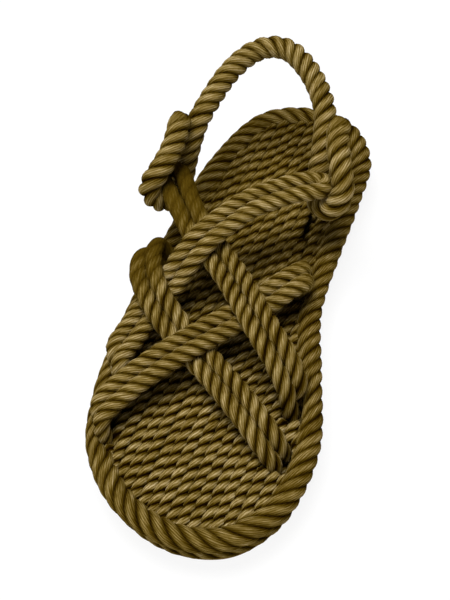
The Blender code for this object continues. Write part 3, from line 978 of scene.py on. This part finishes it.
def rounded_rectangle(centre, size, corner):
    """Corner points of a rectangle with rounded corners."""
    points = []
    for quarter, (hand_x, hand_y) in enumerate(((1, 1), (-1, 1), (-1, -1), (1, -1))):
        for step in range(PANEL_CORNER_STEPS + 1):
            angle = math.pi / 2.0 * (quarter + step / PANEL_CORNER_STEPS)
            x = centre[0] + hand_x * (size[0] / 2.0 - corner) + corner * math.cos(angle)
            y = centre[1] + hand_y * (size[1] / 2.0 - corner) + corner * math.sin(angle)
            points.append((x, y))
    return np.array(points)


def ring_of(shape, outline, height):
    """Vertices of an outline at a height, in a mesh being built."""
    return [shape.verts.new((x, y, height)) for x, y in outline]


def join_rings(shape, first, second):
    """A strip of faces between two rings with as many points."""
    count = len(first)
    for index in range(count):
        ahead = (index + 1) % count
        shape.faces.new((first[index], first[ahead], second[ahead], second[index]))


def inside_outline(outline, points):
    """Which points lie inside an outline."""
    inside = np.zeros(len(points), dtype=bool)
    for start, end in zip(outline, np.roll(outline, -1, axis=0)):
        crosses = (start[1] > points[:, 1]) != (end[1] > points[:, 1])
        rise = end[1] - start[1] if end[1] != start[1] else 1.0
        edge_x = start[0] + (points[:, 1] - start[1]) * (end[0] - start[0]) / rise
        inside ^= crosses & (points[:, 0] < edge_x)
    return inside


def tread_pads():
    """Centres of the small square pads under the sole, clear of its edge and of the blank panel."""
    outline = outline_at(OUTSOLE_INSET + TREAD_MARGIN, OUTSOLE_STEP)
    low = outline.min(axis=0)
    high = outline.max(axis=0)
    grid = np.meshgrid(np.arange(low[0], high[0], TREAD_PITCH), np.arange(low[1], high[1], TREAD_PITCH))
    centres = np.column_stack([axis.ravel() for axis in grid])
    frame_size = np.array(PANEL_SIZE) / 2.0 + PANEL_FRAME
    on_panel = (np.abs(centres - PANEL_CENTRE) < frame_size).all(axis=1)
    return centres[inside_outline(outline, centres) & ~on_panel]


def add_sheet(shape, underside, top):
    """Add the sheet's rounded edge and its top, and return the ring round its underside."""
    angles = [math.pi / 2.0 * step / OUTSOLE_EDGE_STEPS for step in range(OUTSOLE_EDGE_STEPS + 1)]
    rings = []
    for lower in (True, False):
        for angle in angles if lower else angles[::-1]:
            inset = OUTSOLE_INSET + OUTSOLE_EDGE_ROUND * (1.0 - math.sin(angle))
            drop = OUTSOLE_EDGE_ROUND * (1.0 - math.cos(angle))
            height = underside + drop if lower else top - drop
            rings.append(ring_of(shape, outline_at(inset, OUTSOLE_STEP), height))
    for first, second in zip(rings, rings[1:]):
        join_rings(shape, first, second)
    shape.faces.new(rings[-1])
    return rings[0]


def add_panel(shape, underside):
    """Add the sunk panel's wall and bottom, and return the ring round its mouth."""
    outline = rounded_rectangle(PANEL_CENTRE, PANEL_SIZE, PANEL_CORNER)
    mouth = ring_of(shape, outline, underside)
    bottom = ring_of(shape, outline, underside + PANEL_DEPTH)
    join_rings(shape, mouth, bottom)
    shape.faces.new(bottom)
    return mouth


def add_pad(shape, centre, root_height, foot_height):
    """Add one pad of the tread, a little narrower at its foot."""
    corners = np.array(PAD_CORNERS)
    root = ring_of(shape, centre + corners * TREAD_PAD, root_height)
    foot = ring_of(shape, centre + corners * TREAD_PAD_FOOT, foot_height)
    join_rings(shape, root, foot)
    shape.faces.new(foot)
    shape.faces.new(root[::-1])


def make_outsole(material, shift):
    """The rubber sheet with rounded edges, a blank sunk panel and a fine grid of pads underneath."""
    low, high = box_in_mm("outsole")
    underside = low[2] + TREAD_DEPTH
    shape = bmesh.new()
    rings = [add_sheet(shape, underside, high[2]), add_panel(shape, underside)]
    edges = []
    for ring in rings:
        edges += [shape.edges.get((ring[index - 1], ring[index])) for index in range(len(ring))]
    bmesh.ops.triangle_fill(shape, edges=edges, use_beauty=True)
    for centre in tread_pads():
        add_pad(shape, centre, underside + TREAD_SUNK, low[2])
    bmesh.ops.recalc_face_normals(shape, faces=shape.faces)
    bmesh.ops.translate(shape, verts=shape.verts, vec=Vector(shift))
    bmesh.ops.scale(shape, verts=shape.verts, vec=(MM, MM, MM))
    mesh = bpy.data.meshes.new("outsole_rubber")
    shape.to_mesh(mesh)
    shape.free()
    mesh.shade_smooth()
    mesh.set_sharp_from_angle(angle=math.radians(SHARP_ANGLE))
    mesh.materials.append(material)
    made = bpy.data.objects.new("outsole_rubber", mesh)
    bpy.context.scene.collection.objects.link(made)
    place(made, "outsole")


# Floor, light and camera

FLOOR_SIZE = 60.0

# Brightness of the surround by the sine of the height above the horizon: a pale wall round a dim room
SURROUND = (
    (0.16, (0.90, 0.90, 0.90)),
    (0.30, (0.025, 0.025, 0.025)),
)

# Soft lamps. Columns: name, place in metres, size in metres, power in watts
LAMPS = (
    ("key_lamp", (-0.10, 0.05, 1.20), 0.80, 18.0),
    ("front_lamp", (-0.20, -1.0, 0.80), 0.8, 4.0),
)


def make_floor():
    """A wide white floor under the sandal."""
    bpy.ops.mesh.primitive_plane_add(size=FLOOR_SIZE)
    floor = bpy.context.object
    floor.name = "floor"
    floor.data.materials.append(floor_material("white_floor"))


def make_light():
    """A surround that is pale near the horizon, and soft lamps."""
    world = bpy.data.worlds.new("studio")
    world.use_nodes = True
    tree = world.node_tree
    direction = tree.nodes.new("ShaderNodeTexCoord")
    parts = tree.nodes.new("ShaderNodeSeparateXYZ")
    ramp = tree.nodes.new("ShaderNodeValToRGB")
    for stop, (position, colour) in zip(ramp.color_ramp.elements, SURROUND):
        stop.position = position
        stop.color = (*colour, 1.0)
    tree.links.new(direction.outputs["Generated"], parts.inputs[0])
    tree.links.new(parts.outputs["Z"], ramp.inputs["Fac"])
    tree.links.new(ramp.outputs["Color"], tree.nodes["Background"].inputs["Color"])
    bpy.context.scene.world = world
    for name, spot, size, power in LAMPS:
        lamp = bpy.data.lights.new(name, "AREA")
        lamp.shape = "DISK"
        lamp.size = size
        lamp.energy = power
        placed = bpy.data.objects.new(name, lamp)
        placed.location = spot
        placed.rotation_euler = (-Vector(spot)).to_track_quat("-Z", "Y").to_euler()
        bpy.context.scene.collection.objects.link(placed)
    bpy.context.scene.view_settings.view_transform = "Standard"


def make_camera(shift):
    """The camera at the photograph's place, turned and zoomed to frame the sandal."""
    azimuth = math.radians(CAMERA_AZIMUTH)
    elevation = math.radians(CAMERA_ELEVATION)
    level = math.cos(elevation)
    forward = Vector((-math.sin(azimuth) * level, math.cos(azimuth) * level, -math.sin(elevation)))
    right = Vector((math.cos(azimuth), math.sin(azimuth), 0.0))
    up = right.cross(forward)

    def ray(pixel):
        """The line of sight through a pixel of the photograph, one long in depth."""
        across = (pixel[0] - IMAGE_SIZE[0] / 2.0) / FOCAL_PIXELS
        down = (pixel[1] - IMAGE_SIZE[1] / 2.0) / FOCAL_PIXELS
        return forward + right * across - up * down

    spot = (Vector(AIM_POINT) - ray(AIM_PIXEL) * AIM_DEPTH + Vector(shift)) * MM
    ahead = ray(FRAME_PIXEL).normalized()
    level_right = (right - ahead * right.dot(ahead)).normalized()
    camera = bpy.data.cameras.new("camera")
    camera.sensor_width = SENSOR_SIZE
    camera.lens = FOCAL_PIXELS * FRAME_SCALE * SENSOR_SIZE / max(IMAGE_SIZE)
    camera.clip_start = NEAREST_SEEN
    placed = bpy.data.objects.new("camera", camera)
    turned = Matrix((level_right, level_right.cross(ahead), -ahead)).transposed().to_4x4()
    placed.matrix_world = Matrix.Translation(spot) @ turned
    bpy.context.scene.collection.objects.link(placed)
    bpy.context.scene.camera = placed


def main():
    """Build the stage and the six pieces."""
    shift = layout_shift()
    make_camera(shift)
    make_light()
    make_floor()
    rim = rope_material("rim_rope_olive")
    for node, rope, inset, phase in RIMS:
        make_rim(node, rope, inset, phase, rim, shift)
    make_footbed(rope_material("footbed_rope_olive"), shift)
    make_straps(rope_material("strap_rope_olive"), shift)
    make_sling(rope_material("sling_rope_olive"), shift)
    make_outsole(rubber_material("outsole_rubber_ochre"), shift)


main()
